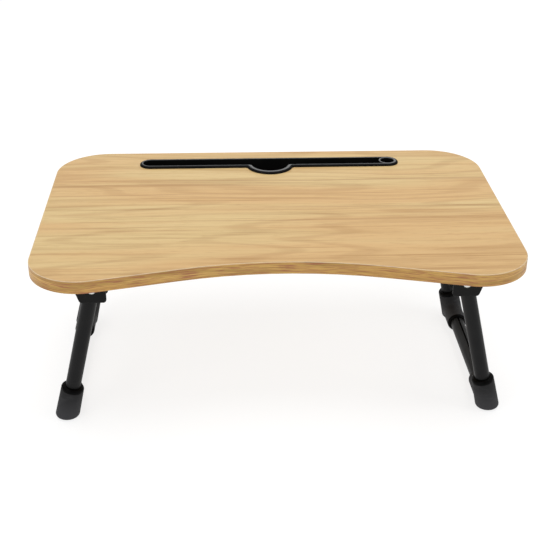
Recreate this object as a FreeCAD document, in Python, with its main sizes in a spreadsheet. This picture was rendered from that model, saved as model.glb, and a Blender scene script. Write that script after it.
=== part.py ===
import FreeCAD, Part
import math
import os

import Sketcher

# Bed tray table: a laminated board on two U-shaped tube legs that fold under it.
#
# The frame stands on the floor: +Z is up, X runs along the board's length,
# and -Y is the side of the person who uses it, where the front edge is
# hollowed. The origin is on the floor under the middle of the board.
# All sizes are in millimetres.

Vector = FreeCAD.Vector
UP = Vector(0, 0, 1)
NEAR = 0.001  # places closer than this are the same place

# The driving dimensions. Each one is a cell of the sheet, under its own name.
DIMENSIONS = {
    "top_width": 600,                 # board, left to right
    "top_depth": 400,                 # board, front to back
    "top_height": 218,                # floor to the board's upper face
    "board_thickness": 16,            # core, two laminates
    "laminate_thickness": 0.8,        # each face
    "band_thickness": 1.0,            # edge band all round
    "band_edge_round": 0.8,           # rounded edges of the band
    "back_corner_radius": 70,
    "front_corner_radius": 63,
    "front_hollow": 42,               # how far the front edge is drawn in
    "front_slope": 14.1,              # degrees, the straight runs beside the hollow

    "slot_length": 370,               # moulded insert, end to end
    "slot_from_back": 46,             # back edge to the insert's centre line
    "slot_rim_radius": 15.5,          # half of the rim's outer width
    "slot_rim_height": 3.2,           # how far the rim stands above the board
    "slot_rim_width": 4.5,            # rim, outer edge to cavity
    "slot_rim_round": 1.6,            # rounded outer edge of the rim
    "slot_depth": 25,                 # upper face of the board to the insert's base
    "slot_wall": 2.0,                 # side walls
    "slot_floor": 2.5,                # floor
    "slot_base_round": 1.5,           # rounded outer edge of the base
    "slot_join_radius": 4,            # where the notch runs into the front wall
    "slot_cutout_gap": 0.4,           # insert to board, each side
    "notch_radius": 33,               # thumb notch, outer edge of its rim
    "notch_rim_width": 7,
    "notch_forward": 8,               # insert's centre line to the notch's centre
    "cup_radius": 9.5,                # pen cup
    "cup_wall": 2.5,

    "tube_diameter": 19,              # legs and floor bars
    "tube_wall": 1.2,
    "leg_splay": 13.5,                # degrees from upright when open
    "pivot_inset": 74.5,              # side of the board to the pivots
    "pivot_drop": 16,                 # underside of the board to the pivots
    "front_leg_inset": 51,            # front of the board to the front uprights
    "rear_leg_inset": 115,            # back of the board to the rear uprights
    "tube_above_pivot": 6.5,          # end of the tube beyond its pivot

    "elbow_mouth_diameter": 28.4,     # foot round the upright, at its mouth
    "elbow_draft": 1.1,               # degrees, the foot widens downwards
    "elbow_arm_diameter": 27,         # foot round the bar
    "elbow_arm_lift": 0.2,            # floor to the arm
    "elbow_upright_reach": 32.5,      # bar's axis to the mouth for the upright
    "elbow_bar_reach": 46,            # upright's axis to the mouth for the bar
    "elbow_socket_start": 11,         # corner to the seat of each tube
    "elbow_base_round": 5,
    "elbow_crotch_round": 4,
    "elbow_mouth_round": 4.0,
    "elbow_socket_gap": 0.05,         # socket wall to tube

    "plug_gap": 0.05,                 # plug to the inside of the tube
    "plug_stem_length": 26,
    "plug_head_height": 3.0,
    "plug_head_round": 2.6,

    "rivet_diameter": 6,
    "rivet_head_diameter": 10.7,
    "rivet_head_height": 2.6,
    "rivet_tail_diameter": 9,
    "rivet_tail_height": 1.8,
    "pivot_gap": 0.05,                # rivet to every hole it passes
    "washer_diameter": 13,
    "washer_thickness": 1.0,

    "cheek_gap": 0.7,                 # tube to each cheek
    "cheek_thickness": 3.0,
    "cheek_inner": 17,                # pivot to the cheek's edge towards the middle
    "cheek_outer": 15,                # pivot to the cheek's lower outer corner
    "cheek_drop": 17,                 # pivot to the cheek's lower edge
    "cheek_slant": 19,                # degrees, outer edge of the cheek
    "cheek_corner_radius": 4,
    "cheek_edge_round": 1.0,
    "web_thickness": 3.0,
    "web_drop": 11,                   # pivot to the lower edge of the web
    "stop_top": 5,                    # pivot down to the top of the stop pad
    "stop_gap": 0.3,                  # open tube to the stop pad
    "flange_thickness": 3.0,
    "flange_inner": 38,               # pivot to the flange's edge towards the middle
    "flange_outer": 36,
    "flange_width": 50,               # front to back
    "flange_corner_radius": 6,
    "flange_edge_round": 0.8,

    "screw_inner": 29,                # pivot to the pair of screws on the inner side
    "screw_outer": 28,
    "screw_half_pitch": 18.5,         # leg's centre plane to a screw
    "screw_head_diameter": 7.5,
    "screw_head_height": 2.4,
    "screw_diameter": 3.5,
    "screw_length": 14,
    "screw_gap": 0.1,                 # shank to the holes it passes
    "pilot_extra": 1.0,               # pilot hole beyond the screw's tip
}

# Expressions that more than one sub-part needs.
PIVOT_X = "(sizes.top_width / 2 - sizes.pivot_inset)"
FRONT_LEG_Y = "(sizes.front_leg_inset - sizes.top_depth / 2)"
REAR_LEG_Y = "(sizes.top_depth / 2 - sizes.rear_leg_inset)"
BOARD_UNDERSIDE = "(sizes.top_height - sizes.board_thickness)"
PIVOT_HEIGHT = "(sizes.top_height - sizes.board_thickness - sizes.pivot_drop)"
BAR_HEIGHT = "(sizes.elbow_arm_diameter / 2 + sizes.elbow_arm_lift)"
LEG_DROP = "(" + PIVOT_HEIGHT + " - " + BAR_HEIGHT + ")"
LEG_LENGTH = "(" + LEG_DROP + " / cos(sizes.leg_splay * 1 deg))"
CORNER_X = "(" + PIVOT_X + " + " + LEG_DROP + " * tan(sizes.leg_splay * 1 deg))"
CHEEK_INSIDE = "(sizes.tube_diameter / 2 + sizes.cheek_gap)"
CHEEK_OUTSIDE = "(" + CHEEK_INSIDE + " + sizes.cheek_thickness)"
PIVOT_BORE = "(sizes.rivet_diameter / 2 + sizes.pivot_gap)"
SLOT_CENTRE_Y = "(sizes.top_depth / 2 - sizes.slot_from_back)"

# The hollow's arc touches both straight runs, and each run touches a front corner.
FRONT_CENTRE_X = "(sizes.top_width / 2 - sizes.front_corner_radius)"
HOLLOW_RADIUS = ("((sin(sizes.front_slope * 1 deg) * " + FRONT_CENTRE_X
                 + " + cos(sizes.front_slope * 1 deg) * (sizes.front_corner_radius - sizes.front_hollow)"
                 + " - sizes.front_corner_radius) / (1 - cos(sizes.front_slope * 1 deg)))")

SIDES = {"left": -1, "right": 1}
ENDS = {"front": FRONT_LEG_Y, "rear": REAR_LEG_Y}

doc = FreeCAD.newDocument("bed_tray_table")
sheet = doc.addObject("Spreadsheet::Sheet", "sizes")
sub_parts = []


# ---------------------------------------------------------------- helpers

def fill_sheet():
    """Write each driving dimension into a cell and name the cell after it."""
    for row, (alias, number) in enumerate(DIMENSIONS.items(), start=1):
        cell = "B%d" % row
        sheet.set("A%d" % row, alias)
        sheet.set(cell, str(number))
        sheet.setAlias(cell, alias)
    doc.recompute()


def value(expression):
    """The number that an expression on the sheet gives."""
    result = sheet.evalExpression(str(expression))
    return float(getattr(result, "Value", result))


def new_body(name):
    body = doc.addObject("PartDesign::Body", name)
    body.Label = name
    sub_parts.append(body)
    return body


def place(body, x, y, z, turn="rotation(vector(0; 0; 1); 0)"):
    """Put a body at x, y, z with a turn, all given as expressions."""
    body.setExpression("Placement", "placement(vector(%s; %s; %s); %s)" % (x, y, z, turn))


def half_turn(side):
    """Left pieces are the right ones turned half round about Z."""
    return "rotation(vector(0; 0; 1); %d)" % (0 if side > 0 else 180)


def leaning(side):
    """The turn that sets a leg piece along its splayed leg."""
    return half_turn(side) + " * rotation(vector(0; 1; 0); -sizes.leg_splay)"


def sketch_on(body, role, offset=None):
    """A sketch on an origin plane of its body, shifted along its normal."""
    sketch = body.newObject("Sketcher::SketchObject", body.Label + "_sketch")
    plane = [item for item in body.Origin.OriginFeatures if item.Role == role][0]
    sketch.AttachmentSupport = [(plane, "")]
    sketch.MapMode = "FlatFace"
    if offset is not None:
        sketch.setExpression("AttachmentOffset.Base.z", offset)
    return sketch


def bind(sketch, kind, places, expression):
    """A dimension of the sketch, driven by an expression on the sheet."""
    index = sketch.addConstraint(Sketcher.Constraint(kind, *places, value(expression)))
    sketch.setExpression("Constraints[%d]" % index, str(expression))


def fix_x(sketch, element, point, expression):
    bind(sketch, "DistanceX", (-1, 1, element, point), expression)


def fix_y(sketch, element, point, expression):
    bind(sketch, "DistanceY", (-1, 1, element, point), expression)


def add_circle(sketch, x, y, radius):
    """A circle whose centre and radius follow the sheet."""
    centre = Vector(value(x), value(y), 0)
    circle = sketch.addGeometry(Part.Circle(centre, UP, value(radius)), False)
    fix_x(sketch, circle, 3, x)
    fix_y(sketch, circle, 3, y)
    bind(sketch, "Radius", (circle,), radius)
    return circle


def add_line(sketch, start, end):
    return sketch.addGeometry(Part.LineSegment(Vector(*start, 0), Vector(*end, 0)), False)


def add_arc(sketch, centre, radius, start_angle, end_angle):
    circle = Part.Circle(Vector(*centre, 0), UP, radius)
    return sketch.addGeometry(Part.ArcOfCircle(circle, start_angle, end_angle), False)


def join(sketch, kind, first, first_point, second, second_point):
    sketch.addConstraint(Sketcher.Constraint(kind, first, first_point, second, second_point))


def add_polygon(sketch, corners):
    """A closed polygon whose corners are pairs of expressions."""
    points = [(value(x), value(y)) for x, y in corners]
    edges = []
    for index, point in enumerate(points):
        edges.append(add_line(sketch, point, points[(index + 1) % len(points)]))
    for index, edge in enumerate(edges):
        join(sketch, "Coincident", edge, 2, edges[(index + 1) % len(edges)], 1)
        fix_x(sketch, edge, 1, corners[index][0])
        fix_y(sketch, edge, 1, corners[index][1])
    return edges


def pad(body, sketch, length, reverse=False, both_ways=False, draft=None):
    feature = body.newObject("PartDesign::Pad", body.Label + "_pad")
    feature.Profile = sketch
    feature.setExpression("Length", length)
    feature.Reversed = reverse
    if draft is not None:
        feature.setExpression("TaperAngle", draft)
    if both_ways:
        feature.SideType = "Symmetric"
    doc.recompute()
    return feature


def pocket(body, sketch, length, reverse=False, both_ways=False):
    """Cut a sketch's profile out of the body, and stop if it cuts nothing."""
    before = body.Shape.Volume
    feature = body.newObject("PartDesign::Pocket", body.Label + "_pocket")
    feature.Profile = sketch
    feature.setExpression("Length", length)
    feature.Reversed = reverse
    if both_ways:
        feature.SideType = "Symmetric"
    doc.recompute()
    if body.Shape.Volume > before - NEAR:
        raise RuntimeError("a pocket of %s cuts nothing" % body.Label)
    return feature


def revolve(body, sketch, axis):
    feature = body.newObject("PartDesign::Revolution", body.Label + "_revolution")
    feature.Profile = sketch
    feature.ReferenceAxis = (sketch, [axis])
    feature.Angle = 360
    doc.recompute()
    return feature


def round_edges(body, radius, chosen):
    """Round the edges of the body's last feature that chosen() picks."""
    base = body.Tip
    names = ["Edge%d" % (index + 1) for index, edge in enumerate(base.Shape.Edges) if chosen(edge)]
    if not names:
        raise RuntimeError("no edge to round on %s" % body.Label)
    feature = body.newObject("PartDesign::Fillet", body.Label + "_round")
    feature.Base = (base, names)
    feature.setExpression("Radius", radius)
    doc.recompute()
    return feature


def flat_at(axis, *expressions):
    """Picks edges that lie in one of the planes axis = expression."""
    levels = [value(item) for item in expressions]

    def chosen(edge):
        box = edge.BoundBox
        low, high = getattr(box, axis + "Min"), getattr(box, axis + "Max")
        return any(abs(low - level) < NEAR and abs(high - level) < NEAR for level in levels)

    return chosen


# ---------------------------------------------------------------- board

def draw_top_outline(sketch, inset):
    """The board's outline, drawn in by inset: round corners and a hollow front."""
    side_x = "(sizes.top_width / 2 - %s)" % inset
    back_y = "(sizes.top_depth / 2 - %s)" % inset
    back_radius = "(sizes.back_corner_radius - %s)" % inset
    front_radius = "(sizes.front_corner_radius - %s)" % inset
    hollow_radius = "(%s + %s)" % (HOLLOW_RADIUS, inset)
    front_centre_x = value(FRONT_CENTRE_X)
    front_centre_y = "(sizes.front_corner_radius - sizes.top_depth / 2)"
    hollow_centre_y = "(sizes.front_hollow - sizes.top_depth / 2 - %s)" % HOLLOW_RADIUS
    back_centre = (value("sizes.top_width / 2 - sizes.back_corner_radius"),
                   value("sizes.top_depth / 2 - sizes.back_corner_radius"))

    # The right run's normal, as an angle from the X axis.
    normal = math.radians(90 - value("sizes.front_slope"))

    def spot(x_sign, centre_x, centre_y, radius, angle):
        return (x_sign * (centre_x + radius * math.cos(angle)), centre_y + radius * math.sin(angle))

    corner_y = value(front_centre_y)
    corner_r = value(front_radius)
    hollow_y = value(hollow_centre_y)
    hollow_r = value(hollow_radius)
    run_end = [spot(sign, front_centre_x, corner_y, -corner_r, normal) for sign in (1, -1)]
    hollow_end = [spot(sign, 0, hollow_y, hollow_r, normal) for sign in (1, -1)]

    x, y = value(side_x), value(back_y)
    bx, by = back_centre
    br = value(back_radius)
    half = math.pi / 2
    back = add_line(sketch, (-bx, y), (bx, y))
    back_right = add_arc(sketch, (bx, by), br, 0, half)
    right = add_line(sketch, (x, by), (x, corner_y))
    front_right = add_arc(sketch, (front_centre_x, corner_y), corner_r, normal - math.pi, 0)
    run_right = add_line(sketch, run_end[0], hollow_end[0])
    hollow = add_arc(sketch, (0, hollow_y), hollow_r, normal, math.pi - normal)
    run_left = add_line(sketch, hollow_end[1], run_end[1])
    front_left = add_arc(sketch, (-front_centre_x, corner_y), corner_r, math.pi, 2 * math.pi - normal)
    left = add_line(sketch, (-x, corner_y), (-x, by))
    back_left = add_arc(sketch, (-bx, by), br, half, math.pi)

    join(sketch, "Tangent", back, 2, back_right, 2)
    join(sketch, "Tangent", back_right, 1, right, 1)
    join(sketch, "Tangent", right, 2, front_right, 2)
    join(sketch, "Tangent", front_right, 1, run_right, 1)
    join(sketch, "Tangent", run_right, 2, hollow, 1)
    join(sketch, "Tangent", hollow, 2, run_left, 1)
    join(sketch, "Tangent", run_left, 2, front_left, 2)
    join(sketch, "Tangent", front_left, 1, left, 1)
    join(sketch, "Tangent", left, 2, back_left, 2)
    join(sketch, "Tangent", back_left, 1, back, 1)

    sketch.addConstraint(Sketcher.Constraint("Horizontal", back))
    sketch.addConstraint(Sketcher.Constraint("Vertical", right))
    sketch.addConstraint(Sketcher.Constraint("Vertical", left))
    sketch.addConstraint(Sketcher.Constraint("Equal", back_right, back_left))
    sketch.addConstraint(Sketcher.Constraint("Equal", front_right, front_left))
    sketch.addConstraint(Sketcher.Constraint("Horizontal", front_right, 3, front_left, 3))
    sketch.addConstraint(Sketcher.Constraint("PointOnObject", hollow, 3, -2))
    bind(sketch, "Radius", (back_right,), back_radius)
    bind(sketch, "Radius", (front_right,), front_radius)
    bind(sketch, "Radius", (hollow,), hollow_radius)
    fix_x(sketch, right, 1, side_x)
    fix_x(sketch, left, 1, "-" + side_x)
    fix_y(sketch, back, 1, back_y)
    fix_y(sketch, front_right, 3, front_centre_y)
    fix_y(sketch, hollow, 3, hollow_centre_y)


def draw_slot_outline(sketch, inset, notch_inset):
    """The insert's outline: a long slot with round ends and the thumb notch."""
    end_x = "(sizes.slot_length / 2 - sizes.slot_rim_radius)"
    end_radius = "(sizes.slot_rim_radius - %s)" % inset
    notch_y = "(%s - sizes.notch_forward)" % SLOT_CENTRE_Y
    notch_radius = "(sizes.notch_radius - %s)" % notch_inset

    centre_y, x, r = value(SLOT_CENTRE_Y), value(end_x), value(end_radius)
    front_y = centre_y - r
    join_r = value("sizes.slot_join_radius")
    nr, ny = value(notch_radius), value(notch_y)
    join_y = front_y - join_r
    join_x = math.sqrt((nr + join_r) ** 2 - (ny - join_y) ** 2)
    lean = math.atan2(ny - join_y, -join_x)

    back = add_line(sketch, (-x, centre_y + r), (x, centre_y + r))
    right_end = add_arc(sketch, (x, centre_y), r, -math.pi / 2, math.pi / 2)
    front_right = add_line(sketch, (x, front_y), (join_x, front_y))
    join_right = add_arc(sketch, (join_x, join_y), join_r, math.pi / 2, lean)
    notch = add_arc(sketch, (0, ny), nr, 2 * math.pi - lean, lean - math.pi)
    join_left = add_arc(sketch, (-join_x, join_y), join_r, math.pi - lean, math.pi / 2)
    front_left = add_line(sketch, (-join_x, front_y), (-x, front_y))
    left_end = add_arc(sketch, (-x, centre_y), r, math.pi / 2, 3 * math.pi / 2)

    join(sketch, "Tangent", back, 2, right_end, 2)
    join(sketch, "Tangent", right_end, 1, front_right, 1)
    join(sketch, "Tangent", front_right, 2, join_right, 1)
    join(sketch, "Tangent", join_right, 2, notch, 2)
    join(sketch, "Tangent", notch, 1, join_left, 1)
    join(sketch, "Tangent", join_left, 2, front_left, 1)
    join(sketch, "Tangent", front_left, 2, left_end, 2)
    join(sketch, "Tangent", left_end, 1, back, 1)
    for line in (back, front_right, front_left):
        sketch.addConstraint(Sketcher.Constraint("Horizontal", line))
    sketch.addConstraint(Sketcher.Constraint("Equal", left_end, right_end))
    sketch.addConstraint(Sketcher.Constraint("Equal", join_left, join_right))
    bind(sketch, "Radius", (right_end,), end_radius)
    bind(sketch, "Radius", (join_right,), "sizes.slot_join_radius")
    bind(sketch, "Radius", (notch,), notch_radius)
    fix_x(sketch, right_end, 3, end_x)
    fix_x(sketch, left_end, 3, "-" + end_x)
    fix_y(sketch, right_end, 3, SLOT_CENTRE_Y)
    sketch.addConstraint(Sketcher.Constraint("PointOnObject", notch, 3, -2))
    fix_y(sketch, notch, 3, notch_y)


def draw_board_outline(sketch):
    """A board layer inside the band, with the cut-out for the insert."""
    gap = "sizes.slot_cutout_gap"
    draw_top_outline(sketch, "sizes.band_thickness")
    draw_slot_outline(sketch, "(sizes.slot_rim_width - sizes.slot_wall - %s)" % gap,
                      "(sizes.notch_rim_width - sizes.slot_wall - %s)" % gap)


def screw_spots():
    """Centres of the bracket screws as seen from above, for all four brackets."""
    spots = []
    for side in SIDES.values():
        for leg_y in ENDS.values():
            for offset in ("-sizes.screw_inner", "+sizes.screw_outer"):
                for way in ("-", "+"):
                    x = "(%d * (%s %s))" % (side, PIVOT_X, offset)
                    y = "(%s %s sizes.screw_half_pitch)" % (leg_y, way)
                    spots.append((x, y))
    return spots


def drill_screw_holes(body, depth):
    """Pilot holes for the bracket screws, from the body's lower face upwards."""
    sketch = sketch_on(body, "XY_Plane")
    for x, y in screw_spots():
        add_circle(sketch, x, y, "(sizes.screw_diameter / 2 + sizes.screw_gap)")
    pocket(body, sketch, depth, reverse=True)


def make_board_core():
    body = new_body("board_core")
    place(body, "0", "0", BOARD_UNDERSIDE + " + sizes.laminate_thickness")
    sketch = sketch_on(body, "XY_Plane")
    draw_board_outline(sketch)
    pad(body, sketch, "sizes.board_thickness - 2 * sizes.laminate_thickness")
    drill_screw_holes(body, "sizes.screw_length - sizes.flange_thickness"
                            " - sizes.laminate_thickness + sizes.pilot_extra")


def make_laminate(name, level):
    body = new_body(name)
    place(body, "0", "0", level)
    sketch = sketch_on(body, "XY_Plane")
    draw_board_outline(sketch)
    pad(body, sketch, "sizes.laminate_thickness")
    return body


def make_edge_band():
    """A ring round the board: the outer edges are rounded before its middle is cut out."""
    body = new_body("edge_band")
    place(body, "0", "0", BOARD_UNDERSIDE)
    outer = sketch_on(body, "XY_Plane")
    draw_top_outline(outer, "0")
    pad(body, outer, "sizes.board_thickness")
    round_edges(body, "sizes.band_edge_round", flat_at("Z", "0", "sizes.board_thickness"))

    inner = sketch_on(body, "XY_Plane")
    draw_top_outline(inner, "sizes.band_thickness")
    pocket(body, inner, "sizes.board_thickness", reverse=True)


# ---------------------------------------------------------------- slot insert

def make_slot_insert():
    """The moulded insert: a rim on the board, a trough through it, and a pen cup."""
    body = new_body("slot_insert")
    place(body, "0", "0", "sizes.top_height")
    wall_inset = "(sizes.slot_rim_width - sizes.slot_wall)"
    notch_wall_inset = "(sizes.notch_rim_width - sizes.slot_wall)"

    rim = sketch_on(body, "XY_Plane")
    draw_slot_outline(rim, "0", "0")
    pad(body, rim, "sizes.slot_rim_height")
    round_edges(body, "sizes.slot_rim_round", flat_at("Z", "sizes.slot_rim_height"))

    trough = sketch_on(body, "XY_Plane")
    draw_slot_outline(trough, wall_inset, notch_wall_inset)
    pad(body, trough, "sizes.slot_depth", reverse=True)
    round_edges(body, "sizes.slot_base_round", flat_at("Z", "-sizes.slot_depth"))

    cavity = sketch_on(body, "XY_Plane", "sizes.slot_rim_height")
    draw_slot_outline(cavity, "sizes.slot_rim_width", "sizes.notch_rim_width")
    pocket(body, cavity, "sizes.slot_rim_height + sizes.slot_depth - sizes.slot_floor")
    add_pen_cup(body)


def add_pen_cup(body):
    """A ring wall at the right end of the trough makes a round cup for pens."""
    x = "(sizes.slot_length / 2 - sizes.slot_rim_radius)"
    sketch = sketch_on(body, "XY_Plane", "sizes.slot_rim_height")
    add_circle(sketch, x, SLOT_CENTRE_Y, "sizes.cup_radius")
    add_circle(sketch, x, SLOT_CENTRE_Y, "sizes.cup_radius + sizes.cup_wall")
    pad(body, sketch, "sizes.slot_rim_height + sizes.slot_depth - sizes.slot_floor / 2", reverse=True)


# ---------------------------------------------------------------- bracket

def bracket_cheek_points():
    """Corners of the cheek seen from the front, with the pivot at the origin."""
    slant = "tan(sizes.cheek_slant * 1 deg)"
    top_x = "(sizes.cheek_outer + (sizes.cheek_drop + sizes.pivot_drop) * %s)" % slant
    return [("-sizes.cheek_inner", "sizes.pivot_drop"),
            ("-sizes.cheek_inner", "-sizes.cheek_drop"),
            ("sizes.cheek_outer", "-sizes.cheek_drop"),
            (top_x, "sizes.pivot_drop")]


def leg_plane_x(level):
    """x of the stop face at a height: it runs along the open leg, just off the tube."""
    reach = "(sizes.tube_diameter / 2 + sizes.stop_gap)"
    lean = "(sizes.leg_splay * 1 deg)"
    return "(%s / cos%s - (%s) * tan%s)" % (reach, lean, level, lean)


def slant_x(level, inside):
    """x of the cheek's slanted outer edge at a height, moved inwards."""
    slant = "(sizes.cheek_slant * 1 deg)"
    return "(sizes.cheek_outer + (sizes.cheek_drop + (%s)) * tan%s - (%s) / cos%s)" % (
        level, slant, inside, slant)


def bracket_channel_points():
    """The space between the cheeks: open inwards and down, closed by the web."""
    roof = "(sizes.pivot_drop - sizes.flange_thickness)"
    far = "(2 * sizes.flange_inner)"
    web = "sizes.web_thickness"
    return [("-" + far, roof),
            ("-" + far, "-" + far),
            (far, "-" + far),
            (far, "-sizes.web_drop"),
            (leg_plane_x("-sizes.web_drop"), "-sizes.web_drop"),
            (leg_plane_x("-sizes.stop_top"), "-sizes.stop_top"),
            (slant_x("-sizes.stop_top", web), "-sizes.stop_top"),
            (slant_x(roof, web), roof)]


def make_hinge_bracket(name, side, leg_y):
    """A saddle screwed under the board, with a web that stops the open leg."""
    body = new_body(name)
    place(body, "%d * %s" % (side, PIVOT_X), leg_y, PIVOT_HEIGHT, half_turn(side))

    # Seen from the front, a sketch on the XZ plane keeps x and z as they are.
    block = sketch_on(body, "XZ_Plane")
    add_polygon(block, bracket_cheek_points())
    pad(body, block, "2 * " + CHEEK_OUTSIDE, both_ways=True)
    lower = [edge_along_y(x, z) for x, z in bracket_cheek_points()[1:3]]
    round_edges(body, "sizes.cheek_corner_radius", lambda edge: any(pick(edge) for pick in lower))
    outer_faces = flat_at("Y", CHEEK_OUTSIDE, "-" + CHEEK_OUTSIDE)
    top_edge = flat_at("Z", "sizes.pivot_drop")
    round_edges(body, "sizes.cheek_edge_round", lambda edge: outer_faces(edge) and not top_edge(edge))

    channel = sketch_on(body, "XZ_Plane")
    add_polygon(channel, bracket_channel_points())
    pocket(body, channel, "2 * " + CHEEK_INSIDE, both_ways=True)
    add_flange(body)
    drill_pivot(body, PIVOT_BORE, "4 * " + CHEEK_OUTSIDE)


def edge_along_y(x, z):
    """Picks the edge that runs front to back through x, z."""
    x, z = value(x), value(z)

    def chosen(edge):
        box = edge.BoundBox
        flat = box.XLength < NEAR and box.ZLength < NEAR
        return flat and abs(box.XMin - x) < NEAR and abs(box.ZMin - z) < NEAR

    return chosen


def add_flange(body):
    """The flange with its four screw holes, flat against the board."""
    sketch = sketch_on(body, "XY_Plane", "sizes.pivot_drop")
    inner, outer = "-sizes.flange_inner", "sizes.flange_outer"
    low, high = "(-sizes.flange_width / 2)", "(sizes.flange_width / 2)"
    add_polygon(sketch, [(inner, low), (outer, low), (outer, high), (inner, high)])
    pad(body, sketch, "sizes.flange_thickness", reverse=True)
    round_edges(body, "sizes.flange_corner_radius", is_flange_corner)
    round_edges(body, "sizes.flange_edge_round", is_flange_rim)

    holes = sketch_on(body, "XY_Plane", "sizes.pivot_drop")
    for x in ("-sizes.screw_inner", "sizes.screw_outer"):
        for y in ("-sizes.screw_half_pitch", "sizes.screw_half_pitch"):
            add_circle(holes, x, y, "(sizes.screw_diameter / 2 + sizes.screw_gap)")
    pocket(body, holes, "sizes.flange_thickness")


def is_flange_corner(edge):
    """An upright edge at one of the flange's four corners."""
    box = edge.BoundBox
    corner_x = [value("-sizes.flange_inner"), value("sizes.flange_outer")]
    upright = box.XLength < NEAR and box.YLength < NEAR
    at_corner = any(abs(box.XMin - x) < NEAR for x in corner_x)
    return upright and at_corner and abs(abs(box.YMin) - value("sizes.flange_width / 2")) < NEAR


def is_flange_rim(edge):
    """An edge along the rim of the flange's lower face."""
    middle = edge.discretize(3)[1]
    corner = value("sizes.flange_corner_radius")
    lower_face = flat_at("Z", "sizes.pivot_drop - sizes.flange_thickness")
    beyond_y = abs(middle.y) > value("sizes.flange_width / 2") - corner
    beyond_x = (middle.x < corner - value("sizes.flange_inner")
                or middle.x > value("sizes.flange_outer") - corner)
    return lower_face(edge) and (beyond_x or beyond_y)


def drill_pivot(body, radius, length):
    """A hole through the pivot, front to back."""
    sketch = sketch_on(body, "XZ_Plane")
    add_circle(sketch, "0", "0", radius)
    pocket(body, sketch, length, both_ways=True)


# ---------------------------------------------------------------- fasteners

def make_bracket_screws(name, side, leg_y):
    """Four pan-head wood screws, driven up through the flange."""
    body = new_body(name)
    flange_face = "(%s - sizes.flange_thickness)" % BOARD_UNDERSIDE
    place(body, "%d * %s" % (side, PIVOT_X), leg_y, flange_face, half_turn(side))
    spots = [(x, y) for x in ("-sizes.screw_inner", "sizes.screw_outer")
             for y in ("-sizes.screw_half_pitch", "sizes.screw_half_pitch")]

    heads = sketch_on(body, "XY_Plane")
    for x, y in spots:
        add_circle(heads, x, y, "sizes.screw_head_diameter / 2")
    pad(body, heads, "sizes.screw_head_height", reverse=True)

    shanks = sketch_on(body, "XY_Plane")
    for x, y in spots:
        add_circle(shanks, x, y, "sizes.screw_diameter / 2")
    pad(body, shanks, "sizes.screw_length")


def make_pivot_rivet(name, side, leg_y, way):
    """A rivet through both cheeks: domed head outside, formed end on a washer."""
    body = new_body(name)
    turn = "rotation(vector(0; 0; 1); %d)" % (0 if way < 0 else 180)
    place(body, "%d * %s" % (side, PIVOT_X), leg_y, PIVOT_HEIGHT, turn)
    sketch = sketch_on(body, "XY_Plane")

    # Half of the section, right of the rivet's axis, which is the sketch's Y axis.
    shank = "(sizes.rivet_diameter / 2)"
    face = CHEEK_OUTSIDE
    tail_face = "(%s + sizes.washer_thickness)" % CHEEK_OUTSIDE
    head_r, head_top = "(sizes.rivet_head_diameter / 2)", "(%s + sizes.rivet_head_height)" % face
    tail_r, tail_top = "(sizes.rivet_tail_diameter / 2)", "(%s + sizes.rivet_tail_height)" % tail_face
    corners = [("0", "-" + head_top), (head_r, "-" + face), (shank, "-" + face),
               (shank, tail_face), (tail_r, tail_face), ("0", tail_top)]
    points = [(value(x), value(y)) for x, y in corners]
    head = add_dome(sketch, points[0], points[1], -1)
    under_head = add_line(sketch, points[1], points[2])
    side_line = add_line(sketch, points[2], points[3])
    under_tail = add_line(sketch, points[3], points[4])
    tail = add_dome(sketch, points[5], points[4], 1)
    axis = add_line(sketch, points[5], points[0])

    # The head's arc runs from its tip to its rim, the tail's from rim to tip.
    join(sketch, "Coincident", head, 2, under_head, 1)
    join(sketch, "Coincident", under_head, 2, side_line, 1)
    join(sketch, "Coincident", side_line, 2, under_tail, 1)
    join(sketch, "Coincident", under_tail, 2, tail, 1)
    join(sketch, "Coincident", tail, 2, axis, 1)
    join(sketch, "Coincident", axis, 2, head, 1)
    fix_y(sketch, head, 1, corners[0][1])
    fix_x(sketch, head, 2, head_r)
    fix_y(sketch, head, 2, corners[1][1])
    fix_x(sketch, side_line, 1, shank)
    fix_x(sketch, side_line, 2, shank)
    fix_y(sketch, side_line, 1, corners[2][1])
    fix_y(sketch, side_line, 2, corners[3][1])
    fix_x(sketch, tail, 1, tail_r)
    fix_y(sketch, tail, 1, corners[4][1])
    fix_y(sketch, tail, 2, corners[5][1])
    for arc in (head, tail):
        sketch.addConstraint(Sketcher.Constraint("PointOnObject", arc, 3, -2))
    sketch.addConstraint(Sketcher.Constraint("PointOnObject", axis, 1, -2))
    sketch.addConstraint(Sketcher.Constraint("PointOnObject", axis, 2, -2))
    revolve(body, sketch, "V_Axis")


def add_dome(sketch, tip, rim, way):
    """An arc from an axis point to a rim point, with its centre on the axis."""
    radius = rim[0]
    height = abs(tip[1] - rim[1])
    sphere = (radius ** 2 + height ** 2) / (2 * height)
    centre_y = tip[1] - way * sphere
    angle = math.atan2(rim[1] - centre_y, rim[0])
    if way > 0:
        return add_arc(sketch, (0, centre_y), sphere, angle, math.pi / 2)
    return add_arc(sketch, (0, centre_y), sphere, -math.pi / 2, angle)


def make_rivet_washer(name, side, leg_y, way):
    """A plain washer between the outer cheek and the rivet's formed end."""
    body = new_body(name)
    turn = "rotation(vector(0; 0; 1); %d)" % (0 if way < 0 else 180)
    place(body, "%d * %s" % (side, PIVOT_X), leg_y, PIVOT_HEIGHT, turn)
    sketch = sketch_on(body, "XZ_Plane", "-" + CHEEK_OUTSIDE)
    add_circle(sketch, "0", "0", "sizes.washer_diameter / 2")
    add_circle(sketch, "0", "0", PIVOT_BORE)
    pad(body, sketch, "sizes.washer_thickness", reverse=True)


# ---------------------------------------------------------------- legs

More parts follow.
